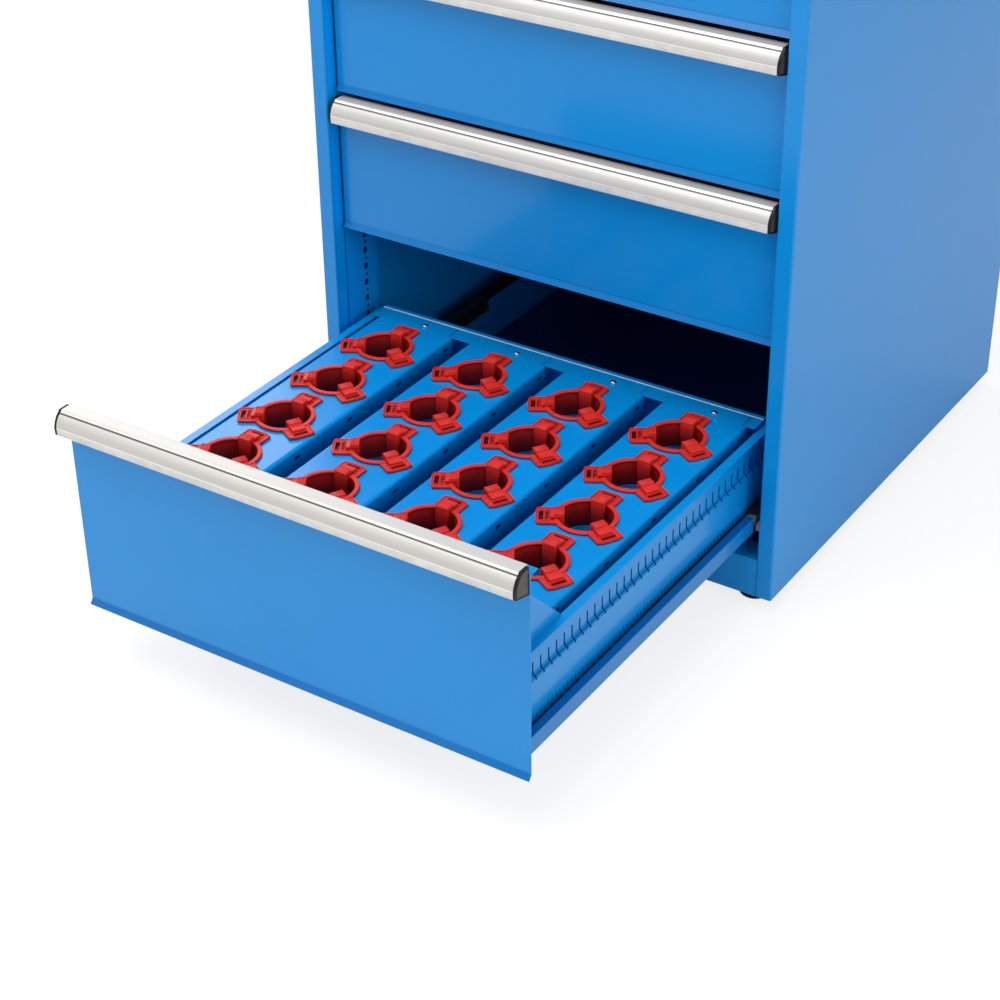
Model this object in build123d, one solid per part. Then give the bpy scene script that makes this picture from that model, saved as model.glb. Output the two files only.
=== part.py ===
from build123d import *
import os

# Drawer cabinet for tool holders. Millimetres, +Z up.
# The origin lies on the floor, in the middle of the footprint with the bottom drawer pulled out.
# X runs to the right, Y to the back. Outlines below measure Y from the front face of the cabinet.

# Cabinet body
cabinet_width = 717.0
cabinet_depth = 740.0
body_height = 1000.0
foot_height = 20.0
sheet = 1.5
fold_radius = 2.0
lid_height = 25.0
face_width = 22.0
return_depth = 22.0
rear_return = 20.0
plinth_height = 57.0
plinth_shelf = 40.0
plinth_foot_flange = 30.0
top_rail_height = 12.0
top_rail_depth = 30.0
pan_setback = 2.0

# Posts that carry the runners
post_gap = 4.0
post_depth = 70.0
rear_post_setback = 25.0
hole_pitch = 25.0
hole_size = 9.0
hole_first = 80.0
hole_setback = 43.0

# Drawers: unit of the grid inside, what the walls and runners take, fronts in units from the bottom up
grid_unit = 17.0
grid_count = 36
side_allowance = 105.0
front_units = (3, 2, 2, 2)
first_front_height = 65.0
top_allowance = 35.0
front_gap = 6.0
front_side_gap = 4.5
front_recess = 20.0
pulled_out = 566.0

# Front panel
front_fold = 16.0
lip_drop = 8.0
lip_reach = 5.0
front_below_handle = 12.0

# Handle strip, seen from its end: how far each corner stands forward and how far it lies below the top
handle_wall = 2.2
flat_forward = 14.2
nose_forward, nose_drop = 17.2, 3.2
face_forward, face_drop = 26.8, 20.0
face_bulge = 1.6
strip_forward, strip_drop = 26.2, 30.0
handle_drop = 37.0
groove_width, groove_depth, groove_angle = 1.0, 0.9, -35.0
handle_top_gap = 1.0
handle_end_gap = 5.0
end_cap = 4.0

# Drawer trays
floor_height = 30.5
wall_step = 5.0
rim_width = 12.0
step_below_rim = 45.0
wall_heights = (126.5, 100.0, 100.0, 100.0)
end_wall_extra = 6.0
end_flange = 12.0
rear_flange = 31.0
rear_hem = 8.0
corner_gap = 0.4
slit_width = 2.0
first_slit = 2
slit_above_step = 16.0
gusset_length = 106.0
gusset_height = 106.0
gusset_root = 24.0

# Telescopic runners, right side
runner_clearance = 10.0
runner_height = 23.0
runner_lip = 11.0
runner_foot = 35.0
runner_reach = 551.0
ear_length = 24.0
slide_gap = 1.3
bridge_gap = 2.0
hook_side_gap = 1.0
hook_leg_lift = 2.5
rail_lip = 6.7
telescope_setback = 7.0
telescope_length = 600.0
bridge_start = 272.0
front_leg_height = 19.0
outer_leg_start = 300.0
roller_inset = 12.0
roller_end_gap = 1.0
roller_play = 0.05
roller_sides = 8

# Tool carriers and their plastic inserts
carrier_count = 4
carrier_gap = 28.0
carrier_skirt = 45.0
carrier_radius = 4.0
carrier_tab_inset = 6.0
carrier_end_gap = 2.0
insert_rows = 4
insert_pitch = 112.0
insert_rear = 106.0
ring_radius = 40.0
bore_radius = 34.0
ring_sides = 12
ring_height = 4.0
sleeve_flat = 37.0
sleeve_sides = 8
sleeve_depth = 32.0
sleeve_gap = 0.4
arm_angles = (90.0, 210.0, 330.0)
arm_reach = 66.0
arm_width = 35.0
ladder_width = 20.0
ladder_slot = 5.0
ladder_edge = 5.0
jaw_width = 18.0
jaw_inner = 26.0
jaw_outer = 46.0
jaw_leg = 6.0
jaw_height = 7.0
jaw_drop = 26.0
jaw_taper = 2.5
screw_head_radius = 4.5
screw_head_height = 3.0
screw_sides = 8
screw_inset = 18.0
screw_offset = 11.0

# Levelling feet
foot_inset_x = 41.5
foot_inset_y = 38.0
foot_radius = 21.0
foot_sides = 12
foot_rim = 8.0
foot_neck_radius = 10.0
foot_neck = 13.0
stem_radius = 5.0
stem_sides = 12
stem_length = 52.0
stem_play = 0.08
bracket_width = 34.0
bracket_length = 44.0
bracket_plate = 3.0
bracket_boss_radius = 10.0
bracket_boss = 14.0
bracket_boss_sides = 6
pan_hole = 16.0

# Sizes that follow from the ones above
half_width = cabinet_width / 2
body_top = foot_height + body_height
panel_top = body_top - lid_height
opening_half = half_width - face_width - sheet
inner_half = half_width - sheet
front_half = opening_half - front_side_gap
runner_face = opening_half - runner_clearance
usable_width = cabinet_width - side_allowance
front_unit = (body_height - first_front_height - top_allowance) / sum(front_units)
front_modules = [units * front_unit for units in front_units]
carrier_pitch = usable_width / carrier_count
carrier_width = carrier_pitch - carrier_gap
lower_outer = usable_width / 2 + wall_step - sheet
upper_outer = lower_outer - wall_step
tray_front = sheet
tray_length = grid_unit * grid_count + 2 * sheet
handle_reach = face_forward
post_front = return_depth + post_gap
rear_post_front = cabinet_depth - rear_post_setback - post_depth
pan_floor = foot_height + sheet
pan_top = pan_floor + sheet
face_y = -(cabinet_depth + front_recess - pulled_out - handle_reach) / 2
roller_radius = (runner_height - 2 * sheet) / 2 - roller_play
rear_roller_reach = runner_reach + ear_length / 2
bridge_under = floor_height - sheet + runner_height + bridge_gap
hook_inner = lower_outer + slide_gap
hook_outer = runner_face + hook_side_gap
ear_inner = hook_inner + sheet + roller_end_gap
plate_height = floor_height + wall_heights[0] + end_wall_extra
carrier_rear = tray_front + tray_length - rear_hem - corner_gap


def run_x(outline, x0, x1):
    """Extrude an outline drawn in Y and Z along X."""
    return Pos(x0, 0, 0) * extrude(Plane.YZ * outline, amount=x1 - x0)


def run_y(outline, y0, y1):
    """Extrude an outline drawn in X and Z along Y."""
    return Pos(0, y1, 0) * extrude(Plane.XZ * outline, amount=y1 - y0)


def run_z(outline, z0, z1):
    """Extrude an outline drawn in X and Y upwards."""
    return Pos(0, 0, z0) * extrude(outline, amount=z1 - z0)


def block(x0, x1, y0, y1, z0, z1):
    """Block between two opposite corners."""
    return Pos((x0 + x1) / 2, (y0 + y1) / 2, (z0 + z1) / 2) * Box(x1 - x0, y1 - y0, z1 - z0)


def roll_x(x0, x1, y, z):
    """Runner roller lying along X."""
    return Pos(0, y, z) * run_x(RegularPolygon(roller_radius, roller_sides), x0, x1)


def folded(*points, radius=0):
    """Section of a folded sheet whose middle line goes through the points."""
    line = FilletPolyline(*points, radius=radius) if radius else Polyline(*points)
    return trace(line, sheet)


def pair(*solids):
    """The pieces given and their mirror images on the other side."""
    return Compound(children=[*solids, *[mirror(solid, Plane.YZ) for solid in solids]])


def side_panel():
    """Right side wall with the front face, its return and the rear return folded on."""
    mid = sheet / 2
    section = folded((opening_half + mid, return_depth), (opening_half + mid, mid),
                     (half_width - mid, mid), (half_width - mid, cabinet_depth - mid),
                     (half_width - rear_return, cabinet_depth - mid), radius=fold_radius)
    return run_z(section, foot_height, panel_top)


def lid():
    """Top cover with its rim turned down over the wall edges."""
    outer = block(-half_width, half_width, 0, cabinet_depth, panel_top, body_top)
    inner = block(-inner_half, inner_half, sheet, cabinet_depth - sheet, panel_top, body_top - sheet)
    return fillet(outer.edges().filter_by(Axis.Z), fold_radius) - inner


def plinth():
    """Front plinth, a channel open to the back with a shelf on top."""
    mid = sheet / 2
    top = foot_height + plinth_height - mid
    section = folded((plinth_shelf, top), (mid, top), (mid, foot_height + mid),
                     (plinth_foot_flange, foot_height + mid))
    return run_x(section, -opening_half, opening_half) - foot_holes()


def top_rail():
    """Channel above the top drawer, between the front faces."""
    mid = sheet / 2
    top, foot = panel_top - mid, panel_top - top_rail_height + mid
    section = folded((top_rail_depth, top), (mid, top), (mid, foot), (top_rail_depth, foot))
    return run_x(section, -opening_half, opening_half)


def base_pan():
    """Bottom sheet on the plinth's foot flange, with clearance holes for the feet."""
    pan = block(-inner_half, inner_half, return_depth + pan_setback, cabinet_depth - 2 * sheet,
                pan_floor, pan_top)
    return pan - foot_holes()


def back_panel():
    """Back wall, held against the rear returns of the side walls."""
    half = inner_half - fold_radius
    return block(-half, half, cabinet_depth - 2 * sheet, cabinet_depth - sheet, foot_height, panel_top)


def post(front):
    """Channel post on the right, open to the side wall, standing on the bottom sheet."""
    mid = sheet / 2
    section = folded((inner_half, front + mid), (opening_half + mid, front + mid),
                     (opening_half + mid, front + post_depth - mid), (inner_half, front + post_depth - mid))
    return run_z(section, pan_top, panel_top)


def front_post():
    """Front post with its row of square holes for hooking in the runners."""
    column = post(post_front)
    count = int((panel_top - pan_top - 2 * hole_first) // hole_pitch) + 1
    hole = Box(4 * sheet, hole_size, hole_size)
    y = post_front + hole_setback
    holes = [Pos(opening_half, y, pan_top + hole_first + hole_pitch * step) * hole for step in range(count)]
    return column - holes


def foot_places():
    """Centres of the four feet."""
    xs = (-half_width + foot_inset_x, half_width - foot_inset_x)
    return [(x, y) for y in (foot_inset_y, cabinet_depth - foot_inset_y) for x in xs]


def foot_holes():
    """Square clearance holes for the feet through the sheets at the bottom."""
    return [Pos(x, y, pan_floor) * Box(pan_hole, pan_hole, 4 * sheet) for x, y in foot_places()]


def foot_bracket():
    """Plate with a hexagonal nut that the levelling foot screws into."""
    plate = Box(bracket_width, bracket_length, bracket_plate, align=(Align.CENTER, Align.CENTER, Align.MIN))
    nut = extrude(RegularPolygon(bracket_boss_radius, bracket_boss_sides), amount=bracket_plate + bracket_boss)
    bore = RegularPolygon(stem_radius + stem_play, stem_sides)
    return Pos(0, 0, pan_top) * (plate + nut - extrude(bore, amount=bracket_plate + bracket_boss))


def foot():
    """Levelling foot: faceted pad with a tapered neck, and its steel stem."""
    pad = extrude(RegularPolygon(foot_radius, foot_sides), amount=foot_neck)
    top = pad.faces().sort_by(Axis.Z)[-1]
    pad = chamfer(top.edges(), foot_radius - foot_neck_radius, foot_neck - foot_rim, reference=top)
    return pad + extrude(RegularPolygon(stem_radius, stem_sides), amount=stem_length)


def drawer_place(number):
    """Where a drawer stands: the foot of its front panel, in the cabinet's own outlines."""
    height = foot_height + first_front_height + sum(front_modules[:number])
    return Pos(0, front_recess - (pulled_out if number == 0 else 0), height)


def telescope_place(number):
    """Where the middle runners stand: they travel half as far as the drawer."""
    height = foot_height + first_front_height + sum(front_modules[:number])
    return Pos(0, front_recess - (pulled_out / 2 if number == 0 else 0), height)


def front_panel(number):
    """Front sheet with a fold at the top and a lip that slopes forward at the foot."""
    mid = sheet / 2
    top = front_modules[number] - front_gap - front_below_handle - mid
    section = folded((front_fold, top), (mid, top), (mid, lip_drop), (mid - lip_reach, mid))
    return run_x(section, -front_half, front_half)


def handle_outline(number):
    """Section of the handle strip: flat top, nose, bulging face, foot strip and slanted underside."""
    top = front_modules[number] - front_gap - handle_top_gap
    back, flat = (0, top), (-flat_forward, top)
    nose = (-nose_forward, top - nose_drop)
    face = (-face_forward, top - face_drop)
    middle = (-(nose_forward + face_forward) / 2 - face_bulge, top - (nose_drop + face_drop) / 2 + face_bulge)
    strip = (-strip_forward, top - strip_drop)
    under = (0, top - handle_drop)
    edges = [Line(back, flat), Line(flat, nose), ThreePointArc(nose, middle, face),
             Line(face, strip), Line(strip, under), Line(under, back)]
    return make_face(edges)


def handle(number):
    """Hollow aluminium strip with a fine groove below its nose."""
    outline = handle_outline(number)
    top = front_modules[number] - front_gap - handle_top_gap
    groove = Rot(0, 0, groove_angle) * Rectangle(2 * groove_depth, groove_width)
    groove = Pos(-nose_forward, top - nose_drop) * groove
    section = outline - offset(outline, -handle_wall) - groove
    half = front_half - handle_end_gap
    return run_x(section, -half, half)


def handle_caps(number):
    """Plastic caps that close both ends of the handle strip."""
    half = front_half - handle_end_gap
    return pair(run_x(handle_outline(number), half, half + end_cap))


def wall_points(number):
    """Middle line of the right drawer wall, from its rim down to the floor."""
    mid = sheet / 2
    rim = floor_height + wall_heights[number]
    step = rim - step_below_rim
    upper, lower = upper_outer - mid, lower_outer - mid
    return [(upper_outer - sheet + rim_width, rim - mid), (upper, rim - mid), (upper, step),
            (lower, step - wall_step)], lower


def end_wall_outline(number, height):
    """Outline of a drawer's front or rear wall, clear of the stepped side walls."""
    rim = floor_height + wall_heights[number]
    step = rim - step_below_rim - sheet
    upper, lower = upper_outer - sheet - corner_gap, lower_outer - sheet - corner_gap
    right = [(upper, height), (upper, step), (lower, step - wall_step), (lower, floor_height + sheet)]
    left = [(-x, z) for x, z in reversed(right)]
    return make_face(Polyline(*right, *left, close=True))


def tray(number):
    """Drawer body folded from one sheet: floor and stepped walls, with both end walls welded in."""
    points, lower = wall_points(number)
    mid = floor_height + sheet / 2
    right = [*points, (lower, mid)]
    left = [(-x, z) for x, z in reversed(right)]
    body = run_y(folded(*right, *left), tray_front, tray_front + tray_length)
    rim = floor_height + wall_heights[number]
    walls = [run_y(end_wall_outline(number, rim), y, y + sheet)
             for y in (tray_front, tray_front + tray_length - sheet)]
    return body + walls


def slotted_wall():
    """Right wall of the tool drawer: rim, slitted step and the raised corner that stiffens the front."""
    points, lower = wall_points(0)
    section = folded(*points, (lower, floor_height))
    wall = run_y(section, tray_front, tray_front + tray_length)
    rim = floor_height + wall_heights[0]
    step = rim - step_below_rim
    height = slit_above_step + wall_step
    slit = Box(4 * wall_step, slit_width, height)
    z = step + slit_above_step - height / 2
    start = tray_front + sheet + grid_unit / 2
    wall -= [Pos(lower_outer - wall_step, start + grid_unit * slot, z) * slit
             for slot in range(first_slit, grid_count)]
    foot = rim - gusset_root
    front, rear = tray_front, tray_front + gusset_length
    corner = Polyline((front, foot), (rear, foot), (rear, rim), (front, rim + gusset_height), close=True)
    return wall + run_x(make_face(corner), upper_outer - sheet, upper_outer)


def tool_floor():
    """Floor sheet of the tool drawer, between the side walls."""
    half = lower_outer - sheet
    return block(-half, half, tray_front, tray_front + tray_length, floor_height, floor_height + sheet)


def tool_end_wall(y0, flange):
    """End wall of the tool drawer from y0 on, with the flange inside it that the carriers rest on."""
    wall = run_y(end_wall_outline(0, plate_height), y0, y0 + sheet)
    half = upper_outer - sheet - corner_gap
    edges = sorted((y0, y0 + flange + (sheet if flange > 0 else 0)))
    return wall + block(-half, half, *edges, plate_height - sheet, plate_height)


def tool_end_walls():
    """Front and rear wall; the rear one has a raised hem that the carriers end at."""
    rear = tray_front + tray_length
    half = upper_outer - sheet - corner_gap
    hem = block(-half, half, rear - rear_hem, rear, plate_height, plate_height + sheet)
    front_wall, rear_wall = tool_end_wall(tray_front, end_flange), tool_end_wall(rear - sheet, -rear_flange)
    return Compound(children=[front_wall, rear_wall + hem])


def drawer_runner():
    """Channel along the lower right edge of a drawer, with an ear inside its rear roller."""
    low, high = floor_height - sheet, floor_height - sheet + runner_height
    mid = sheet / 2
    section = folded((runner_face - runner_foot, low + mid), (runner_face - mid, low + mid),
                     (runner_face - mid, high - mid), (runner_face - runner_lip, high - mid))
    rail = run_y(section, tray_front + sheet, runner_reach)
    y0, y1 = runner_reach - sheet, runner_reach + ear_length
    tongue = block(ear_inner, runner_face, y0, y1, low, low + sheet)
    return rail + tongue + block(ear_inner, ear_inner + sheet, y0, y1, low, high)


def rear_roller():
    """Roller on the drawer's ear, running under the bridge of the middle rail."""
    z = bridge_under - roller_radius - roller_play
    return roll_x(ear_inner + sheet, runner_face, rear_roller_reach, z)


def telescope_rail():
    """Middle rail, a hook over the drawer's channel, its bridge and outer leg cut back at the front."""
    mid = sheet / 2
    foot, top = floor_height + hook_leg_lift, bridge_under + sheet
    section = folded((hook_inner + mid, foot), (hook_inner + mid, top - mid), (hook_outer + mid, top - mid),
                     (hook_outer + mid, foot))
    rail = run_y(section, telescope_setback, telescope_setback + telescope_length)
    leg_cut = block(hook_outer, hook_outer + sheet, telescope_setback, outer_leg_start, foot, top)
    bridge_cut = block(hook_inner, hook_outer + sheet, telescope_setback, bridge_start,
                       foot + front_leg_height, top)
    return rail - leg_cut - bridge_cut


def telescope_rollers():
    """Front roller inside the drawer's channel and rear roller inside the cabinet rail."""
    y0, y1 = telescope_setback, telescope_setback + telescope_length
    channel_mid = floor_height - sheet + runner_height / 2
    front = roll_x(hook_inner + sheet, runner_face - sheet - roller_end_gap, y0 + roller_inset, channel_mid)
    rear = roll_x(hook_outer + sheet, opening_half - sheet - roller_end_gap, y1 - roller_inset, rail_middle())
    return pair(front, rear)


def rail_middle():
    """Height of the cabinet rail's centre above the foot of its drawer's front."""
    return bridge_under + sheet - runner_height / 2 + sheet


def cabinet_rail():
    """Fixed rail, a channel open to the inside, from the front post to the rear post."""
    mid = sheet / 2
    low, high = rail_middle() - runner_height / 2, rail_middle() + runner_height / 2
    inner = opening_half - rail_lip
    section = folded((inner, low + mid), (opening_half - mid, low + mid), (opening_half - mid, high - mid),
                     (inner, high - mid))
    return run_y(section, post_front, rear_post_front + post_depth)


def cabinet_rails():
    """All fixed rails: one pair for each drawer."""
    rails = []
    for number in range(len(front_modules)):
        height = foot_height + first_front_height + sum(front_modules[:number])
        rail = Pos(0, 0, height) * cabinet_rail()
        rails += [rail, mirror(rail, Plane.YZ)]
    return Compound(children=rails)


def carrier_x(column):
    """Middle of a carrier, counted from the left."""
    return (column - (carrier_count - 1) / 2) * carrier_pitch


def insert_places(column):
    """Centres of the inserts in one carrier, from the rear to the front."""
    rear = tray_front + tray_length - sheet - insert_rear
    return [(carrier_x(column), rear - insert_pitch * row) for row in range(insert_rows)]


def screw_place(column):
    """Centre of the screw at the rear end of a carrier, a little to the right of its middle."""
    return carrier_x(column) + screw_offset, carrier_rear - screw_inset


def carrier(column):
    """Folded bridge plate with skirts, end tabs on the drawer's end walls and a hole for each insert."""
    mid = sheet / 2
    half = carrier_width / 2 - mid
    top, foot = plate_height + mid, plate_height - carrier_skirt
    section = folded((half, foot), (half, top), (-half, top), (-half, foot), radius=carrier_radius)
    front, rear = tray_front + sheet, tray_front + tray_length - sheet
    plate = run_y(section, front + end_flange + carrier_end_gap, rear - rear_flange - carrier_end_gap)
    tab = half - carrier_tab_inset
    plate += block(-tab, tab, front + carrier_end_gap, carrier_rear, plate_height, plate_height + sheet)
    plate = Pos(carrier_x(column), 0, 0) * plate
    hole = RegularPolygon(sleeve_flat + sleeve_gap, sleeve_sides, major_radius=False)
    hole = extrude(hole, amount=4 * sheet)
    return plate - [Pos(x, y, plate_height - sheet) * hole for x, y in insert_places(column)]


def arm_outline():
    """One arm of an insert along +X."""
    return Pos(arm_reach / 2, 0) * Rectangle(arm_reach, arm_width)


def insert():
    """Tool insert: ring with three arms, a slot near each arm's tip, and the sleeve below."""
    outline = RegularPolygon(ring_radius, ring_sides)
    slot_reach = arm_reach - ladder_edge - ladder_slot / 2
    slots = []
    for angle in arm_angles:
        outline += Rot(0, 0, angle) * arm_outline()
        slots.append(Rot(0, 0, angle) * Pos(slot_reach, 0) * Rectangle(ladder_slot, ladder_width))
    ring = run_z(outline - slots, 0, ring_height)
    sleeve = run_z(RegularPolygon(sleeve_flat, sleeve_sides, major_radius=False), -sleeve_depth, 0)
    bore = run_z(RegularPolygon(bore_radius, ring_sides, major_radius=False), -sleeve_depth, ring_height)
    return ring + sleeve - bore


def jaw():
    """Clip on one arm along +X: stepped block on top and a leg that hangs in the bore."""
    top = ring_height + jaw_height
    leg = jaw_inner + jaw_leg
    outline = Polyline((jaw_inner, top), (jaw_outer, top), (jaw_outer, ring_height), (leg, ring_height),
                       (leg, -jaw_drop), (jaw_inner + jaw_taper, -jaw_drop), close=True)
    return run_y(make_face(outline), -jaw_width / 2, jaw_width / 2)


def inserts(column):
    """The inserts of one carrier."""
    height = plate_height + sheet
    return Compound(children=[Pos(x, y, height) * insert() for x, y in insert_places(column)])


def jaws(column):
    """The three clips on each insert of one carrier."""
    height = plate_height + sheet
    return Compound(children=[Pos(x, y, height) * Rot(0, 0, angle) * jaw()
                              for x, y in insert_places(column) for angle in arm_angles])


def carrier_screws():
    """Pan heads that hold the carriers to the rear wall's flange."""
    head = extrude(RegularPolygon(screw_head_radius, screw_sides), amount=screw_head_height)
    places = [screw_place(column) for column in range(carrier_count)]
    return Compound(children=[Pos(x, y, plate_height + sheet) * head for x, y in places])


def housing():
    """Everything that stands still."""
    right = side_panel()
    rear = post(rear_post_front)
    return {
        "side_panel_right": right,
        "side_panel_left": mirror(right, Plane.YZ),
        "top_cover": lid(),
        "plinth": plinth(),
        "top_rail": top_rail(),
        "base_pan": base_pan(),
        "back_panel": back_panel(),
        "front_posts": pair(front_post()),
        "rear_posts": pair(rear),
        "cabinet_rails": cabinet_rails(),
        "foot_brackets": Compound(children=[Pos(x, y, 0) * foot_bracket() for x, y in foot_places()]),
    }


def feet():
    """The four levelling feet."""
    names = ("front_left", "front_right", "rear_left", "rear_right")
    return {f"foot_{name}": Pos(x, y, 0) * foot() for name, (x, y) in zip(names, foot_places())}


def drawer(number):
    """One drawer with its front, handle and runners; the bottom one is the tool drawer."""
    place, middle = drawer_place(number), telescope_place(number)
    tag = number + 1
    nodes = {
        f"drawer_front_{tag}": place * front_panel(number),
        f"handle_{tag}": place * handle(number),
        f"handle_caps_{tag}": place * handle_caps(number),
        f"telescope_rails_{tag}": middle * pair(telescope_rail()),
        f"telescope_rollers_{tag}": middle * telescope_rollers(),
    }
    if number == 0:
        nodes[f"drawer_runners_{tag}"] = place * pair(drawer_runner())
        nodes[f"drawer_rollers_{tag}"] = place * pair(rear_roller())
    else:
        nodes[f"drawer_runners_{tag}"] = place * pair(drawer_runner(), rear_roller())
        nodes[f"drawer_tray_{tag}"] = place * tray(number)
    return nodes


def tool_fittings():
    """The body of the tool drawer and what it holds."""
    place = drawer_place(0)
    wall = slotted_wall()
    nodes = {
        "tool_drawer_wall_right": place * wall,
        "tool_drawer_wall_left": place * mirror(wall, Plane.YZ),
        "tool_drawer_floor": place * tool_floor(),
        "tool_drawer_end_walls": place * tool_end_walls(),
        "carrier_screws": place * carrier_screws(),
    }
    for column in range(carrier_count):
        nodes[f"tool_carrier_{column + 1}"] = place * carrier(column)
        nodes[f"tool_inserts_{column + 1}"] = place * inserts(column)
        nodes[f"insert_jaws_{column + 1}"] = place * jaws(column)
    return nodes


def main():
    """Write every piece to its own file, moved to the common origin."""
    nodes = {**housing(), **feet(), **tool_fittings()}
    for number in range(len(front_modules)):
        nodes.update(drawer(number))
    os.makedirs("parts", exist_ok=True)
    for name, shape in nodes.items():
        export_step(Pos(0, face_y, 0) * shape, f"parts/{name}.step")


main()
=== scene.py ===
# %% [markdown]
# A drawer cabinet for tool holders, dressed for a product picture.
#
# The sheet metal, the handles and the runners are exact solids, and they come in here ready made.
# What is left is what makes them look real: enamel with a faint orange peel, moulded red sockets,
# brushed handle strips, ribbed feet, and the small slits and holes that a press leaves in a sheet.

# %% Load the cabinet
import math
import bmesh
import bpy
from mathutils import Matrix, Vector


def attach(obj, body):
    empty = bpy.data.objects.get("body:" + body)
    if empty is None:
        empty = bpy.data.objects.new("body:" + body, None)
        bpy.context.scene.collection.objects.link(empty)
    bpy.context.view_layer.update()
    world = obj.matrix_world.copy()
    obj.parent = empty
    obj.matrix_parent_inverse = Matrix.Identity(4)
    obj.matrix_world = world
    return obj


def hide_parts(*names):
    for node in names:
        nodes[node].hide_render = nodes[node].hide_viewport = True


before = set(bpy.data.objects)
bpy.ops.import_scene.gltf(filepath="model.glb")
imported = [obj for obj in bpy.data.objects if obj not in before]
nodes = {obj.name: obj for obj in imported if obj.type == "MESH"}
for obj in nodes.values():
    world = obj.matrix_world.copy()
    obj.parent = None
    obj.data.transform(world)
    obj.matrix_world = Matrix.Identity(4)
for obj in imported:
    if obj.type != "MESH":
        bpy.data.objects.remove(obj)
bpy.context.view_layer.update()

print("solids in the cabinet:", len(nodes))

# %% [markdown]
# The picture was taken from the right and from above, with a long lens. The camera is placed by its
# own position and by the way it looks, so nothing about it depends on the picture's size.

# %% Camera
camera_place = Vector((1.377211, -2.271148, 1.693940))
turned_left, looks_down, rolled = 33.435, 32.314, -0.748
focal_length, sensor_width, sees_to = 79.366, 36.0, 100


def camera_axes(left, down, roll):
    """Right, up and backward directions of a camera, from its three angles in degrees."""
    a, e, r = (math.radians(v) for v in (left, down, roll))
    ahead = Vector((-math.sin(a) * math.cos(e), math.cos(a) * math.cos(e), -math.sin(e)))
    level = Vector((math.cos(a), math.sin(a), 0))
    right = level * math.cos(r) + level.cross(ahead) * math.sin(r)
    return right, right.cross(ahead), -ahead


lens = bpy.data.cameras.new("camera")
lens.lens, lens.sensor_width, lens.clip_end = focal_length, sensor_width, sees_to
camera = bpy.data.objects.new("camera", lens)
bpy.context.scene.collection.objects.link(camera)
axes = Matrix(camera_axes(turned_left, looks_down, rolled)).transposed()
camera.matrix_world = Matrix.Translation(camera_place) @ axes.to_4x4()
bpy.context.scene.camera = camera
bpy.context.scene.view_settings.view_transform = "Standard"
print("camera at", tuple(round(v, 3) for v in camera_place))

# %% [markdown]
# Shader maths reads best as ordinary maths. A Wire is one output of a node, and adding, multiplying
# or comparing wires places the Math nodes. A comparison gives 1 where it is true and 0 elsewhere, so
# it serves as a mask. A Paint is a material together with the one method that places any other node.

# %% Shader helpers


class Wire:
    """One output of a node, for sums and comparisons with numbers and other wires."""

    def __init__(self, paint, socket):
        self.paint, self.socket = paint, socket

    def maths(self, operation, *values):
        return self.paint.node("ShaderNodeMath", {"operation": operation}, dict(enumerate(values)))

    def __add__(self, other):
        return self.maths("ADD", self, other)

    def __sub__(self, other):
        return self.maths("SUBTRACT", self, other)

    def __rsub__(self, other):
        return self.maths("SUBTRACT", other, self)

    def __mul__(self, other):
        return self.maths("MULTIPLY", self, other)

    def __truediv__(self, other):
        return self.maths("DIVIDE", self, other)

    def __mod__(self, other):
        return self.maths("MODULO", self, other)

    def __abs__(self):
        return self.maths("ABSOLUTE", self)

    def __gt__(self, other):
        return self.maths("GREATER_THAN", self, other)

    def __lt__(self, other):
        return self.maths("LESS_THAN", self, other)

    __radd__, __rmul__ = __add__, __mul__


class Paint:
    """A material and its nodes, with one Principled shader."""

    def __init__(self, name, **fixed):
        self.material = bpy.data.materials.new(name)
        self.material.use_nodes = True
        self.tree = self.material.node_tree
        self.shader = next(n for n in self.tree.nodes if n.type == "BSDF_PRINCIPLED")
        self.place = self.node("ShaderNodeTexCoord", output="Object")
        self.set(**fixed)

    def node(self, kind, settings=None, values=None, output=0):
        """Place a node: its settings first, then the numbers or wires of its sockets."""
        new = self.tree.nodes.new(kind)
        for key, value in (settings or {}).items():
            if key == "stops":
                for place, colour in value[2:]:
                    new.color_ramp.elements.new(place)
                for stop, (place, colour) in zip(new.color_ramp.elements, sorted(value)):
                    stop.position, stop.color = place, (*colour, 1)
            else:
                setattr(new, key, value)
        for key, value in (values or {}).items():
            self.join(new.inputs[key], value)
        return Wire(self, new.outputs[output])

    def join(self, socket, value):
        """Give a socket a wire or a number."""
        if isinstance(value, Wire):
            self.tree.links.new(value.socket, socket)
        elif hasattr(socket.default_value, "__len__") and len(value) < len(socket.default_value):
            socket.default_value = (*value, 1)
        else:
            socket.default_value = value

    def set(self, **values):
        """Set the shader's sockets; Base_Color stands for Base Color."""
        for key, value in values.items():
            self.join(self.shader.inputs[key.replace("_", " ")], value)

    def axis(self, letter):
        """One coordinate of the surface, in metres."""
        return self.node("ShaderNodeSeparateXYZ", values={"Vector": self.place}, output=letter)

    def noise(self, size, detail, stretch=(1, 1, 1)):
        """Noise whose blobs are about that many metres across, drawn out along an axis."""
        scale = tuple(1 / s for s in stretch)
        spot = self.node("ShaderNodeMapping", values={"Vector": self.place, "Scale": scale})
        return self.node("ShaderNodeTexNoise", values={"Vector": spot, "Scale": 1 / size, "Detail": detail})

    def shade(self, factor, *stops):
        """A ramp of colours over a factor."""
        return self.node("ShaderNodeValToRGB", {"stops": list(stops)}, {"Fac": factor})

    def emboss(self, height, depth, strength, below=None):
        """A bump of that depth in metres, over another bump where one is given."""
        values = {"Height": height, "Distance": depth, "Strength": strength}
        if below:
            values["Normal"] = below
        return self.node("ShaderNodeBump", values=values, output="Normal")


def tinted(colour, factor):
    """A colour made lighter or darker."""
    return tuple(min(1.0, c * factor) for c in colour)


# %% [markdown]
# The enamel is a saturated sky blue under a clear gloss. Sprayed enamel is never quite flat: it has
# an orange peel a few millimetres across, which only shows where a light is mirrored in it.

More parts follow.
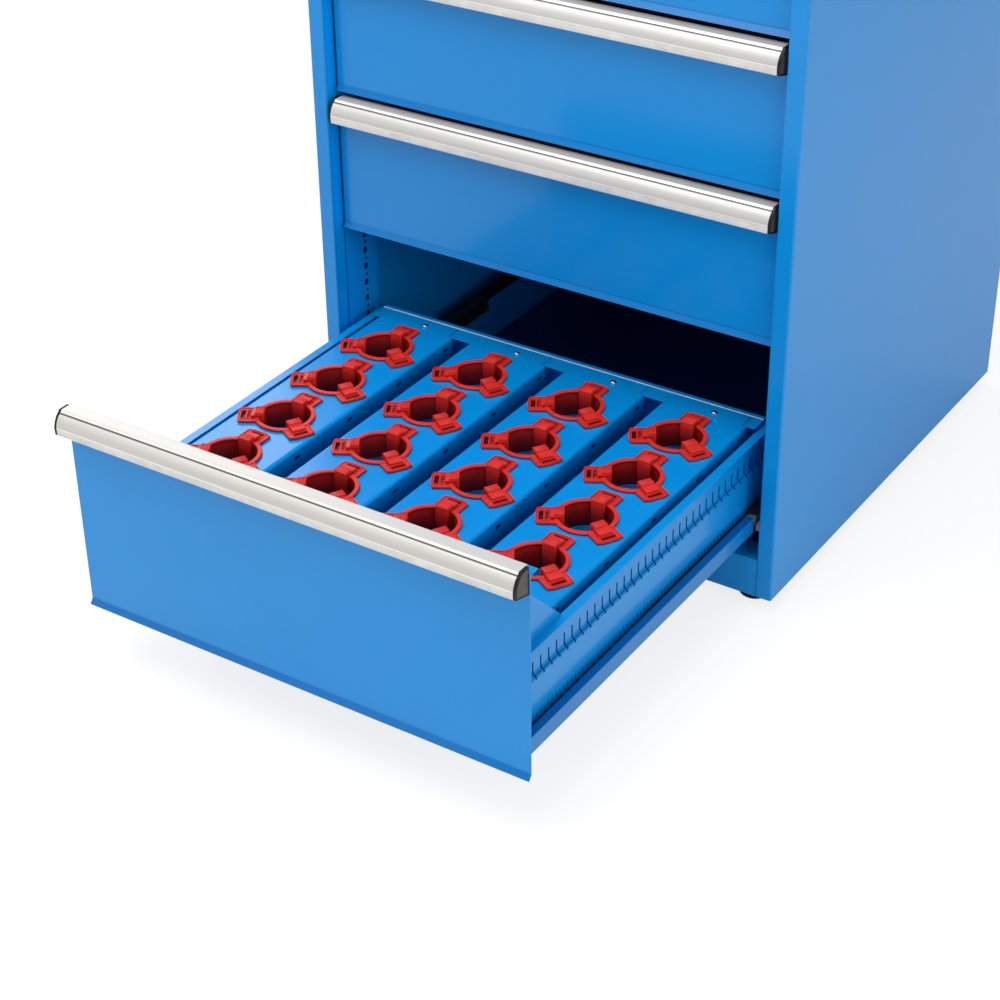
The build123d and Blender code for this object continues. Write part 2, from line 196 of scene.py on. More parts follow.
# %% Blue enamel
sky_blue = (0.0005, 0.235, 0.62)
# A deep blue that paints the shade on the base pan inside the cabinet.
unlit_blue = (0.0002, 0.045, 0.20)


def enamel(name, colour):
    """Gloss enamel with a faint orange peel, a slightly uneven coat and edges that catch the light."""
    paint = Paint(name, Specular_IOR_Level=0.12, Coat_Weight=0.5, Coat_Roughness=0.14)
    cloud = paint.noise(size=0.25, detail=2)
    peel = paint.noise(size=0.0022, detail=2)
    grain = paint.noise(size=0.0006, detail=1)
    edge = paint.node("ShaderNodeBevel", {"samples": 4}, {"Radius": 0.0009})
    peeled = paint.emboss(peel, depth=0.00010, strength=0.45, below=edge)
    paint.cloudy = paint.shade(cloud, (0.3, tinted(colour, 0.97)), (0.7, tinted(colour, 1.025)))
    paint.set(Base_Color=paint.cloudy, Roughness=0.36 + cloud * 0.1,
              Normal=paint.emboss(grain, depth=0.00002, strength=0.25, below=peeled))
    return paint


blue = enamel("blue_enamel", sky_blue)
# Painted shade: the enamel made darker for the rear posts, and deep blue for the base pan.
shaded_inside_blue = enamel("blue_enamel_inside_painted_shade", tinted(sky_blue, 0.8))
shaded_base_blue = enamel("blue_enamel_base_painted_shade", unlit_blue)

# %% [markdown]
# The sockets, the caps and the feet are moulded. A mould that has been spark eroded leaves a fine
# even grain, and the plastic is a little glossy where it is flat. The small dark slits and holes use
# the same recipe with next to no gloss, because a hole mirrors nothing; their dark colours are painted
# shade.

# %% Moulded plastic
signal_red = (0.62, 0.024, 0.016)
plastic_gloss, hole_gloss = 0.4, 0.05


def moulded(name, colour, roughness, gloss=plastic_gloss, grain_size=0.0005, grain_depth=0.00003):
    """Moulded plastic with a spark-eroded grain and faint flow clouds."""
    paint = Paint(name, Specular_IOR_Level=gloss)
    cloud = paint.noise(size=0.02, detail=3)
    grain = paint.noise(size=grain_size, detail=2)
    paint.cloudy = paint.shade(cloud, (0.3, tinted(colour, 0.88)), (0.7, tinted(colour, 1.1)))
    paint.set(Base_Color=paint.cloudy, Roughness=roughness - 0.05 + grain * 0.1,
              Normal=paint.emboss(grain, depth=grain_depth, strength=0.5))
    return paint


cap_grey = moulded("cap_grey", (0.070, 0.062, 0.056), 0.55)
# The rim black also paints the shadow in the groove of each handle.
rim_and_groove_shadow_black = moulded("rim_and_groove_shadow_black", (0.006, 0.006, 0.006), 0.5)
foot_black = moulded("foot_black", (0.014, 0.014, 0.015), 0.5, grain_size=0.001, grain_depth=0.00006)
# These dark colours paint the shade in notches, holes, slits and the crease of the bend.
notch_shade_red = moulded("notch_shade_red", (0.03, 0.001, 0.001), 0.6, hole_gloss)
opening_shade_black = moulded("opening_shade_black", (0.002, 0.008, 0.035), 0.8, hole_gloss)
slit_shade_blue = moulded("slit_shade_blue", (0.0005, 0.030, 0.15), 0.7, hole_gloss)
crease_shade_blue = moulded("crease_shade_blue", (0.002, 0.085, 0.32), 0.6, hole_gloss)
# Pale blue paints light: glints at the slits inside the walls and a highlight along the rear hem.
painted_highlight_blue = moulded("painted_highlight_blue", (0.80, 0.95, 1.0), 0.5)
label_cream = moulded("label_cream", (0.66, 0.65, 0.61), 0.5)
roller_grey = moulded("roller_grey", (0.20, 0.20, 0.20), 0.4)

# %% [markdown]
# Some finishes carry painted light and shade that change with place. What lies deep in the drawer
# gets darker towards the bottom as painted shade, by a ramp over its height, and the weaker colour
# channels fade faster than the main one. Folded hems and inner faces take painted light and painted
# shade where a comparison of a coordinate with a limit is true.

# %% Painted light and shade that change with place
red_fades, blue_fades = (1, 1.8, 1.8), (1.7, 1.7, 1)
sleeve_foot, ring_top = 0.2175, 0.2535
carrier_foot, carrier_top = 0.115, 0.2485
wall_shade_foot, wall_shade_top = 0.1165, 0.150
front_pitch, hem_foot, hem_top, open_hem_top = 0.2, 0.1845, 0.1955, 0.0955
panel_skin, lip_back, back_skin, plate_foot = 0.3579, -0.08, 0.6542, 0.245
runner_pitch, runner_face, flange_foot = 0.1, 0.3245, 0.0363
unlit, half_lit = 0.02, 0.45


def multiplied(paint, shares):
    """Multiply a paint's cloudy colour by another colour."""
    product = paint.node("ShaderNodeVectorMath", {"operation": "MULTIPLY"}, {0: paint.cloudy, 1: shares})
    paint.set(Base_Color=product)
    return paint


def shade_painted_by_depth(paint, bottom, top, fades, *stops):
    """Paint shade onto a paint, darker with depth between two heights; each channel fades by its own power.
    """
    heights = {"Value": paint.axis("Z"), "From Min": bottom, "From Max": top}
    share = paint.node("ShaderNodeMapRange", values=heights)
    return multiplied(paint, paint.shade(share, *[(place, tuple(value ** fade for fade in fades))
                                                  for place, value in stops]))


def painted_shading_where(name, tint, mask):
    """Sky-blue enamel with painted light and shade: multiplied by a tint where a mask of its coordinates is
    1.
    """
    paint = enamel(name, sky_blue)
    return multiplied(paint, paint.shade(mask(paint.axis), (0, (1, 1, 1)), (1, tint)))


def between(value, low, high):
    """1 where a wire lies between two limits, else 0."""
    return (value > low) * (value < high)


# Painted shade darkens the red down the bore, and its two nearly black stops are a painted shadow line at
# the foot of a socket's ring.
red = shade_painted_by_depth(moulded("socket_red_painted_shade", signal_red, 0.45), sleeve_foot, ring_top, red_fades,
               (0, 0.08), (0.45, 0.26), (0.80, 0.50), (0.885, 0.45), (0.892, 0.03), (0.91, 0.03),
               (0.95, 0.95), (1, 1))
# Painted shade also darkens the clips, the carriers and the drawer's walls towards the bottom.
clip_shaded_red = shade_painted_by_depth(moulded("clip_shaded_red", signal_red, 0.42), sleeve_foot, ring_top, red_fades,
                    (0, 0.15), (0.5, 0.45), (0.9, 0.8), (1, 1.0))
carrier_shaded_blue = shade_painted_by_depth(enamel("blue_enamel_carriers_painted_shade", sky_blue), carrier_foot, carrier_top, blue_fades,
                        (0, 0.25), (0.4, 0.45), (0.8, 0.7), (1, 1))
wall_shaded_blue = shade_painted_by_depth(enamel("blue_enamel_wall_painted_shade", sky_blue), wall_shade_foot, wall_shade_top, blue_fades,
                     (0, 0.02), (0.15, 0.10), (0.5, 0.6), (1, 1))

# Painted light on the inner faces of the panels and posts and on the low end walls; painted shade on the
# hem bands of the fronts and on the inside of the back.
panel_lit_blue = painted_shading_where("blue_enamel_panels_painted_light", (1, 1.4, 1.5),
                          lambda axis: (abs(axis("X")) < panel_skin) * (axis("Y") > lip_back))
closed_front_shaded_blue = painted_shading_where("blue_enamel_front_painted_shade", (0.5, 0.74, 0.80),
                                 lambda axis: between(axis("Z") % front_pitch, hem_foot, hem_top))
open_front_shaded_blue = painted_shading_where("blue_enamel_open_front_painted_shade", (0.3, 0.66, 0.78),
                               lambda axis: axis("Z") < open_hem_top)
end_lit_blue = painted_shading_where("blue_enamel_ends_painted_light", (1, 1.3, 1.6), lambda axis: axis("Z") < plate_foot)
back_shaded_blue = painted_shading_where("blue_enamel_back_painted_shade", (0.05, 0.12, 0.3), lambda axis: axis("Y") < back_skin)

# A runner's light and shade are painted: full colour on its outer face, half lit on its flange and nearly
# black everywhere else.
runner_shaded_blue = enamel("blue_enamel_runners_painted_shade", sky_blue)
outer = abs(runner_shaded_blue.axis("X")) > runner_face
flange = runner_shaded_blue.axis("Z") % runner_pitch > flange_foot
lit = unlit + outer * (1 - unlit) + (1 - outer) * flange * (half_lit - unlit)
multiplied(runner_shaded_blue, runner_shaded_blue.shade(lit, (0, (0, 0, 0)), (half_lit, (0.4, 0.46, 0.62)),
                                          (1, (0.62, 0.72, 0.80))))

# %% [markdown]
# Drawn aluminium and rolled steel keep the marks of their making: long faint lines along the
# profile. Noise that is drawn out along one axis gives them.

# %% Metals
along_x, along_y, no_way = (400, 1, 1), (1, 400, 1), (1, 1, 1)


def drawn(name, colour, roughness, along, metallic=1.0):
    """Metal with fine lines along the way it was drawn or rolled."""
    paint = Paint(name, Metallic=metallic)
    lines = paint.noise(size=0.0007, detail=2, stretch=along)
    cloud = paint.noise(size=0.03, detail=3)
    paint.cloudy = paint.shade(lines, (0.25, tinted(colour, 0.9)), (0.75, tinted(colour, 1.06)))
    paint.set(Base_Color=paint.cloudy,
              Roughness=roughness - 0.06 + lines * 0.08 + cloud * 0.06,
              Normal=paint.emboss(lines, depth=0.00002, strength=0.4))
    return paint


runner_steel = drawn("runner_steel", (0.075, 0.070, 0.066), 0.42, along_y, 0.85)
bright_steel = drawn("bright_steel", (0.62, 0.62, 0.64), 0.3, no_way)
aluminium = drawn("handle_aluminium", (1.0, 1.0, 0.985), 0.42, along_x, 0.25)

# The tops of all four handles lie 178 mm above a multiple of 200 mm, so one ramp over that remainder
# paints light and shade on them all: a bright top, a white bevel and a bright ridge as painted
# highlights, a dark groove and a face that darkens downwards as painted shade.
handle_low, handle_deep = 0.141, 0.037
warm = (1, 0.965, 0.92)
painted_highlights_and_shade = [(0, 0.60), (0.42, 0.62), (0.455, 0.88), (0.475, 0.88), (0.49, 0.58), (0.73, 0.66), (0.880, 0.76),
         (0.890, 0.16), (0.902, 0.16), (0.908, 0.90), (0.985, 0.90), (0.993, 0.66)]
level = (aluminium.axis("Z") % front_pitch - handle_low) / handle_deep
multiplied(aluminium, aluminium.shade(level, *[(place, tinted(warm, value)) for place, value in painted_highlights_and_shade]))
print("paints:", len(bpy.data.materials))

# %% [markdown]
# Each solid that came in ready made gets its finish by name, and the longest name that fits wins.
# The inside of the cabinet has the same enamel, made darker as painted shade.

# %% Dress the solids
finishes = {
    "top_cover": blue, "top_rail": blue, "plinth": blue, "drawer_tray": blue, "tool_drawer": blue,
    "side_panel": panel_lit_blue, "front_posts": panel_lit_blue, "rear_posts": shaded_inside_blue,
    "back_panel": back_shaded_blue, "base_pan": shaded_base_blue,
    "drawer_front": closed_front_shaded_blue, "drawer_front_1": open_front_shaded_blue,
    "tool_drawer_wall": wall_shaded_blue, "tool_drawer_end_walls": end_lit_blue, "tool_carrier": carrier_shaded_blue,
    "drawer_runners": runner_shaded_blue, "cabinet_rails": runner_steel, "telescope_rails": runner_steel,
    "drawer_rollers": roller_grey, "telescope_rollers": roller_grey,
    "handle": aluminium, "handle_caps": cap_grey,
    "foot": foot_black, "foot_brackets": bright_steel, "carrier_screws": bright_steel,
    "tool_inserts": red, "insert_jaws": red,
}
for name, solid in nodes.items():
    kind = max((k for k in finishes if name.startswith(k)), key=len)
    solid.data.materials.clear()
    solid.data.materials.append(finishes[kind].material)
print("finishes:", len(set(finishes.values())))

# %% [markdown]
# Every new piece goes through one function: it turns the faces outwards, makes the mesh, names its
# finish and lets it ride with the body that carries it.

# %% Making a piece
mm = 0.001
sharp_angle = 35


def piece(name, shape, paint, body, stands_for=()):
    """Finish a bmesh as a piece that rides on a body."""
    bmesh.ops.recalc_face_normals(shape, faces=shape.faces)
    mesh = bpy.data.meshes.new(name)
    shape.to_mesh(mesh)
    shape.free()
    mesh.materials.append(paint.material)
    obj = bpy.data.objects.new(name, mesh)
    bpy.context.scene.collection.objects.link(obj)
    mesh.shade_smooth()
    mesh.set_sharp_from_angle(angle=math.radians(sharp_angle))
    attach(obj, body)
    if stands_for:
        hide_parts(*stands_for)
    print(f"{name}: {len(mesh.polygons)} faces")


# %% [markdown]
# The shapes below are told in millimetres. A few verbs are enough for all of them: make a block, round
# its edges, push an outline out, spin a profile, copy a part to places and join parts.

# %% Shaping verbs


def at(x, y, z):
    """A place, in millimetres."""
    return Matrix.Translation(Vector((x, y, z)) * mm)


def turned(angle, axis="Z"):
    """A turn in degrees about an axis."""
    return Matrix.Rotation(math.radians(angle), 4, axis)


def copies(part, places):
    """One bmesh with a copy of a part at each place, and the part freed."""
    whole, mesh = bmesh.new(), bpy.data.meshes.new("copied")
    part.to_mesh(mesh)
    part.free()
    for place in places:
        start = len(whole.verts)
        whole.from_mesh(mesh)
        whole.verts.ensure_lookup_table()
        bmesh.ops.transform(whole, matrix=place, verts=whole.verts[start:])
    bpy.data.meshes.remove(mesh)
    return whole


mirrored = Matrix.Scale(-1, 4, (1, 0, 0))


def both_sides(shape):
    """A bmesh and its mirror image on the other side."""
    return copies(shape, [Matrix.Identity(4), mirrored])


def joined(*shapes):
    """One bmesh of several."""
    whole, mesh = bmesh.new(), bpy.data.meshes.new("joined")
    for shape in shapes:
        shape.to_mesh(mesh)
        whole.from_mesh(mesh)
        shape.free()
    bpy.data.meshes.remove(mesh)
    return whole


def slab(x, y, z):
    """A bmesh block between two limits on each axis."""
    shape = bmesh.new()
    bmesh.ops.create_cube(shape, size=1)
    for axis, (low, high) in enumerate((x, y, z)):
        for vert in shape.verts:
            vert.co[axis] = (low + high) / 2 + vert.co[axis] * (high - low)
    bmesh.ops.scale(shape, vec=(mm, mm, mm), verts=shape.verts)
    return shape


def soften(shape, width, angle=30):
    """Bevel every edge that is sharper than an angle."""
    edges = [e for e in shape.edges if len(e.link_faces) == 2 and e.calc_face_angle() > math.radians(angle)]
    bmesh.ops.bevel(shape, geom=edges, affect="EDGES", offset=width * mm, segments=1, profile=0.5,
                    material=-1, clamp_overlap=True)


def bar(x, y, z, edge):
    """A slab with bevelled edges."""
    shape = slab(x, y, z)
    soften(shape, edge)
    return shape


def push(shape, faces, by):
    """Extrude faces and move what is new."""
    grown = bmesh.ops.extrude_face_region(shape, geom=faces)["geom"]
    verts = [v for v in grown if isinstance(v, bmesh.types.BMVert)]
    bmesh.ops.translate(shape, vec=tuple(c * mm for c in by), verts=verts)


def pushed_out(points, by):
    """A closed bmesh: a flat outline, pushed out into a solid."""
    shape = bmesh.new()
    face = shape.faces.new([shape.verts.new(tuple(c * mm for c in point)) for point in points])
    push(shape, [face], by)
    return shape


def along_sheet(section, half):
    """Push a section of (x, z) points out along Y to both sides."""
    return pushed_out([(x, -half, z) for x, z in section], (0, 2 * half, 0))


def spun(profile, steps):
    """Spin a profile of (radius, height) points around Z; one that leaves the axis is closed first."""
    shape = bmesh.new()
    verts = [shape.verts.new((r * mm, 0, z * mm)) for r, z in profile]
    edges = [shape.edges.new((a, b)) for a, b in zip(verts, verts[1:])]
    if profile[0][0] > 0:
        edges.append(shape.edges.new((verts[-1], verts[0])))
    bmesh.ops.spin(shape, geom=verts + edges, cent=(0, 0, 0), axis=(0, 0, 1), angle=math.tau, steps=steps,
                   use_merge=True)
    bmesh.ops.remove_doubles(shape, verts=shape.verts, dist=1e-7)
    return shape


# %% [markdown]
# A socket is a ring with three arms, and it sits in a round hole of its carrier. Two ladder slots in
# each arm let the clip be moved for another taper.

# %% Socket sizes
carriers, rows = 4, 4
carrier_pitch, row_pitch = 153.0, 112.0
rear_row, plate_top = -120.6, 249.5
ring_outer, bore = 40.0, 34.0
ring_high, ring_corner, ring_steps = 4.0, 0.8, 72
sleeve_outer, sleeve_deep = bore + 3, 32.0
arm_half, arm_tip, arm_corner, arm_high = 17.5, 61.5, 2.5, ring_high - 1.2
border_wide, border_high = 1.5, 1.1
slot_half, slot_deep = 10.0, 2.6
inner_slot, outer_slot = (44.0, 48.9), (51.6, 57.4)
arm_directions = (90.0, 210.0, 330.0)


def carrier_x(column):
    """Where the middle of a carrier stands, counted from the left."""
    return (column - (carriers - 1) / 2) * carrier_pitch


def socket_places(column):
    """Where the sockets of one carrier stand, from the rear."""
    return [at(carrier_x(column), rear_row - row * row_pitch, plate_top) for row in range(rows)]


# %% [markdown]
# An arm starts as a thin block that is cut into a grid, and each cut is one line of code. The quads of
# the slots are sunk. The rest of the top is inset, and the frame that the inset leaves is lifted, which
# makes a raised border all round.

# %% Socket


def cut(shape, place, normal):
    """Cut all faces with a plane across X or Y."""
    geometry = [*shape.verts, *shape.edges, *shape.faces]
    bmesh.ops.bisect_plane(shape, geom=geometry, plane_co=Vector(place) * mm, plane_no=normal)


def top_faces(shape):
    """The faces that look up and aren't sunk."""
    return [f for f in shape.faces if f.normal.z > 0.9 and f.calc_center_median().z > arm_high / 2 * mm]


def arm():
    """One arm along +X with two ladder slots and a raised border."""
    shape = slab((ring_outer - 4, arm_tip), (-arm_half, arm_half), (0, arm_high))
    for reach in (*inner_slot, *outer_slot):
        cut(shape, (reach, 0, 0), (1, 0, 0))
    for side in (-slot_half, slot_half):
        cut(shape, (0, side, 0), (0, 1, 0))
    for vert in shape.verts:
        if vert.co.x > (arm_tip - 1) * mm and abs(vert.co.y) > (arm_half - 1) * mm:
            vert.co.x -= arm_corner * mm
    slots = [f for f in top_faces(shape) if abs(f.calc_center_median().y) < slot_half * mm / 2
             and any(near < f.calc_center_median().x / mm < far for near, far in (inner_slot, outer_slot))]
    for face in bmesh.ops.extrude_discrete_faces(shape, faces=slots)["faces"]:
        bmesh.ops.translate(shape, vec=(0, 0, -slot_deep * mm), verts=face.verts)
    land = top_faces(shape)
    bmesh.ops.inset_region(shape, faces=land, thickness=border_wide * mm, depth=0)
    inner = {f for f in land if f.is_valid}
    border = [f for f in top_faces(shape) if f not in inner]
    push(shape, border, (0, 0, border_high))
    bmesh.ops.delete(shape, geom=border, context="FACES")
    return shape


def teeth():
    """The row of teeth in the inner slot of an arm, which the clip's hook bites into."""
    tooth = slab((inner_slot[0], 47.8), (-1.1, 1.1), (0.3, ring_high - 0.3))
    for vert in tooth.verts:
        if vert.co.x > 47 * mm:
            vert.co.y *= 0.5
    return copies(tooth, [at(0, 5 * step, 0) for step in (-1.5, -0.5, 0.5, 1.5)])


def ring():
    """Ring and sleeve of a socket, spun from one profile with bevelled corners."""
    shoulder = ring_high - ring_corner
    return spun(((bore, -sleeve_deep), (bore, shoulder), (bore + ring_corner, ring_high),
                 (ring_outer - ring_corner, ring_high), (ring_outer, shoulder), (ring_outer, 0),
                 (sleeve_outer, 0), (sleeve_outer, -sleeve_deep)), ring_steps)


# %% [markdown]
# The clip is a stepped block with a leg that hangs in the bore. Its back is ridged for the thumb,
# and the ridges are part of the profile that is pushed out to the clip's width. One clip of each
# socket has a shorter toe, so its arm shows both slots.

# %% Clips
clip_half, notch_pitch, notches_per_flank = 9.0, 2.4, 6
clip_toes = (49.4, 43.4, 49.4)


def clip(toe):
    """Clip along +X: ridged block, a lower toe that ends at a radius, and a leg in the bore."""
    ridges = []
    for start in (28.5, 31.0, 33.5, 36.0):
        ridges += [(start, 11.0), (start + 0.5, 9.9), (start + 1.0, 11.0)]
    shape = along_sheet([(26, 9.4), (27, 10.8), *ridges, (38, 10.8), (38.3, 7.8), (toe - 0.5, 7.3),
                         (toe, 6.6), (toe, 4), (32, 4), (32, -26), (28.5, -26), (26, -9)], clip_half)
    soften(shape, 0.2, 60)
    return shape


def flank_notches():
    """The row of small notches along both flanks of a clip, drawn as dark marks of painted shade."""
    notch = slab((-0.6, 0.6), (clip_half - 0.3, clip_half + 0.12), (ring_high + 0.2, ring_high + 1.8))
    return copies(notch, [Matrix.Scale(side, 4, (0, 1, 0)) @ at(29 + notch_pitch * k, 0, 0)
                          for k in range(notches_per_flank) for side in (1, -1)])


for column in range(carriers):
    number, spots = column + 1, socket_places(column)
    arm_spots = [spot @ turned(angle) for spot in spots for angle in arm_directions]
    arms = copies(joined(arm(), teeth()), arm_spots)
    piece(f"sockets_{number}", joined(arms, copies(ring(), spots)), red, "drawer_1",
          [f"tool_inserts_{number}"])
    clips = joined(*(copies(clip(toe), [spot @ turned(angle) for spot in spots])
                     for angle, toe in zip(arm_directions, clip_toes)))
    piece(f"clips_{number}", clips, clip_shaded_red, "drawer_1", [f"insert_jaws_{number}"])
    piece(f"clip_notch_shades_{number}", copies(flank_notches(), arm_spots), notch_shade_red, "drawer_1")

# %% [markdown]
# A handle strip carries more than its own section: a black strip in the groove below its nose, which
# is a painted shadow, a lip that hides the fold of the front, a cream label strip in two widths with
# a fine line between them, and at each end a cap with a black rim around a grey face.

# %% Handles
open_front, closed_front = -629.6, -63.6
drawers = {1: (open_front, 85.0, 293.0), 2: (closed_front, 385.0, 193.0),
           3: (closed_front, 585.0, 193.0), 4: (closed_front, 785.0, 193.0)}
handle_half, cap_thick, rim_wide = 325.5, 4.0, 2.6
handle_section = ((0, 0), (14.2, 0), (17.2, 3.2), (21.4, 7.2), (24.6, 13.0), (26.8, 20), (26.2, 30),
                  (0, 37))
label_sections = (((25.8, 21.4), (26.78, 21.4), (26.78, 26.6), (25.8, 26.6)),
                  ((25.7, 27.1), (26.78, 27.1), (26.6, 29.4), (25.7, 29.4)))


def across(section, x0, x1):
    """Push a section of (forward, below the top) points out along X."""
    return pushed_out([(x0, -y, -z) for y, z in section], (x1 - x0, 0, 0))


def label_strips():
    """Both label strips of a handle."""
    strips = [across(section, -handle_half, handle_half) for section in label_sections]
    for strip in strips:
        soften(strip, 0.2)
    return joined(*strips)


def cap():
    """A cap's body, and its end face set in by the width of the rim."""
    shape = across(handle_section, handle_half, handle_half + cap_thick)
    end = [f for f in shape.faces if f.calc_center_median().x > (handle_half + cap_thick - 0.5) * mm]
    bmesh.ops.inset_region(shape, faces=end, thickness=rim_wide * mm, depth=0)
    return shape, end


def cap_rim():
    """The body of a cap, with the sunk face that leaves a rim."""
    shape, end = cap()
    bmesh.ops.translate(shape, vec=(-1.2 * mm, 0, 0), verts=end[0].verts)
    soften(shape, 0.3, 50)
    return shape


def cap_face():
    """The plate that lies in a cap's rim, with a hair of air around it."""
    shape, end = cap()
    bmesh.ops.delete(shape, geom=[f for f in shape.faces if f not in end], context="FACES")
    bmesh.ops.scale(shape, vec=(1, 0.97, 0.97), verts=shape.verts, space=at(0, 13, 18))
    push(shape, list(shape.faces), (-1.1, 0, 0))
    bmesh.ops.translate(shape, vec=(-0.5 * mm, 0, 0), verts=shape.verts)
    return shape


nose = at(0, -17.2, -3.2) @ turned(-35, "X")
for number, (front, foot, height) in drawers.items():
    spot, body = at(0, front, foot + height), f"drawer_{number}"
    both_ends = [spot, spot @ mirrored]
    # The black strip in the groove below the nose is a painted shadow.
    thin_bar = bar((-handle_half + 0.5, handle_half - 0.5), (0.1, 0.8), (-0.49, 0.49), 0.1)
    lip = bar((-handle_half + 0.2, handle_half - 0.2), (0.02, 2.8), (-3, 0), 0.25)
    piece(f"handle_groove_shadow_{number}", copies(thin_bar, [spot @ nose]), rim_and_groove_shadow_black, body)
    piece(f"handle_lip_{number}", copies(lip, [spot]), aluminium, body)
    piece(f"label_strip_{number}", copies(label_strips(), [spot]), label_cream, body)
    piece(f"cap_rims_{number}", copies(cap_rim(), both_ends), rim_and_groove_shadow_black, body,
          [f"handle_caps_{number}"])
    piece(f"cap_faces_{number}", copies(cap_face(), both_ends), cap_grey, body)

# %% [markdown]
# A press leaves small things in a sheet: slits that cross the bend of the drawer's wall and a row of
# strokes lower down for the partitions. Their shade is painted: thin dark strips that stand a tenth of a
# millimetre out of the sheet, on both walls of the open drawer, and dashes along the bend between the
# slits that paint the shade of its crease.

# %% Slits in the drawer's walls
wall_front, wall_foot, _ = drawers[1]
slit_start, slit_pitch, first_slit, last_slit = 11.5, 17.0, 2, 35
slits = range(first_slit, last_slit + 1)
slit_half = 1.35
bend_x, bend_z, stroke_z = 307.15, 109.65, 56


def slit_y(k):
    """Where a slit stands along the wall; a half stands for the middle between two slits."""
    return wall_front + slit_start + slit_pitch * k


# The section of a slit's strip of painted shade follows the wall: down its upper face, out over the bend,
# and down.
slit = along_sheet(((304.3, 127.6), (304.62, 127.6), (304.62, 112.25), (309.62, 107.25), (309.62, 105.4),
                    (309.3, 105.4), (309.3, 107.0), (304.3, 112.0)), slit_half)
slit_shade_strokes = copies(slit, [at(0, slit_y(k), wall_foot) for k in slits])
piece("slit_shade_strokes", both_sides(slit_shade_strokes), slit_shade_blue, "drawer_1")

# Each dash is painted shade in the crease of the bend.
dash = bar((-0.12, 0.12), (-6.2, 6.2), (-0.75, 0.75), 0.08)
dashes = copies(dash, [at(bend_x, slit_y(k + 0.5), bend_z + wall_foot) @ turned(-45, "Y")
                       for k in slits[:-1]])
piece("bend_crease_shades", both_sides(dashes), crease_shade_blue, "drawer_1")

stroke = bar((309.4, 309.62), (-0.7, 0.7), (-3.4, 3.4), 0.08)
strokes = copies(stroke, [at(0, slit_y(k / 2), stroke_z + wall_foot)
                          for k in range(2 * first_slit, 2 * last_slit + 1)])
piece("partition_slit_shades", both_sides(strokes), slit_shade_blue, "drawer_1")

# %% [markdown]
# The posts have round holes between their square ones, and a second row of smaller ones behind, drawn
# as dark discs of painted shade. Pale marks inside the wall are painted light at each slit, a painted
# highlight runs along the edge of the hem at the rear, and dark marks paint the shade of a notch in the
# carriers' skirts between every two sockets.

# %% Painted shade in holes and notches, painted light at slits and hem, seams
post_inside, first_hole, hole_pitch, holes_up = 335, 115.5, 25, 33
hole_rows = ((2.2, -14.6), (1.1, 7.4))
hole_out = 0.12
wall_rear = wall_front + 616.5


def dot(radius):
    """A round hole seen along X, drawn as a shallow dark disc of painted shade with a bevelled rim."""
    shape = bmesh.new()
    bmesh.ops.create_cone(shape, cap_ends=True, segments=20, radius1=radius * mm, radius2=radius * mm,
                          depth=2 * hole_out * mm, matrix=turned(90, "Y"))
    soften(shape, hole_out * 0.6, 50)
    return shape


holes = joined(*(copies(dot(radius), [at(post_inside, y, first_hole + hole_pitch * k)
                                      for k in range(holes_up)]) for radius, y in hole_rows))
piece("post_hole_shades", both_sides(holes), opening_shade_black, "housing")

# Pale marks of painted light inside each wall, one at each slit.
slit_glint = bar((-302.9, -301.2), (-1.6, 1.6), (146.0, 147.8), 0.4)
slit_glints = copies(slit_glint, [at(0, slit_y(k), wall_foot) for k in slits])
piece("wall_slit_glints", both_sides(slit_glints), painted_highlight_blue, "drawer_1")

# A painted highlight along the edge of the hem at the rear.
hem = bar((-303, 303), (-8.6, -7.3), (0, 0.5), 0.15)
piece("hem_highlight", copies(hem, [at(0, wall_rear, plate_top)]), painted_highlight_blue, "drawer_1")

thin_bar = bar((334.2, 336.0), (-83.9, -83.5), (20.4, 76.9), 0.08)
piece("plinth_seams", both_sides(thin_bar), blue, "housing")

# Each notch in a skirt is a dark mark of painted shade.
notch = bar((62.3, 62.6), (-5, 5), (-14, -10), 0.1)
notches = copies(notch, [at(carrier_x(column), rear_row - row_pitch * (row - 0.5), plate_top) @ turned(half)
                         for column in range(carriers) for row in range(rows + 1) for half in (0, 180)])
piece("skirt_notch_shades", notches, opening_shade_black, "drawer_1")

# %% [markdown]
# The pan heads are spun. The feet are spun too, with grip ribs around the pad and the thread of the
# stem above it.

# %% Screws and feet
screw_right, screw_before_rear = 11.0, 26.4
body_half, body_front, body_deep = 358.5, -83.6, 740
foot_from_side, foot_from_end, grip_ribs = 41.5, 38, 36
thread_foot, thread_step, thread_points = 12, 0.75, 53

pan_head = spun(((0, 0), (4.4, 0), (4.4, 0.9), (3.9, 2.0), (2.6, 2.8), (1.2, 2.4), (0, 2.2)), 24)
heads = copies(pan_head, [at(carrier_x(column) + screw_right, wall_rear - screw_before_rear, plate_top)
                          for column in range(carriers)])
piece("screws", heads, bright_steel, "drawer_1", ["carrier_screws"])


def foot_pad():
    """Pad and neck of a levelling foot, with grip ribs around the rim."""
    pad = spun(((0, 0), (19, 0), (19.6, 0.6), (19.6, 7.2), (18.8, 8), (17, 8.6), (10.5, 12.4), (9.6, 13),
                (0, 13)), 48)
    rib = bar((19.0, 20.9), (-0.9, 0.9), (0.4, 7.6), 0.3)
    return joined(pad, copies(rib, [turned(360 / grip_ribs * k) for k in range(grip_ribs)]))


def stem():
    """Stem with thread crests."""
    crests = [(4.95 if k % 2 else 4.3, thread_foot + k * thread_step) for k in range(thread_points)]
    return spun(((0, 11), (4.3, 11), *crests, (0, 51.8)), 20)


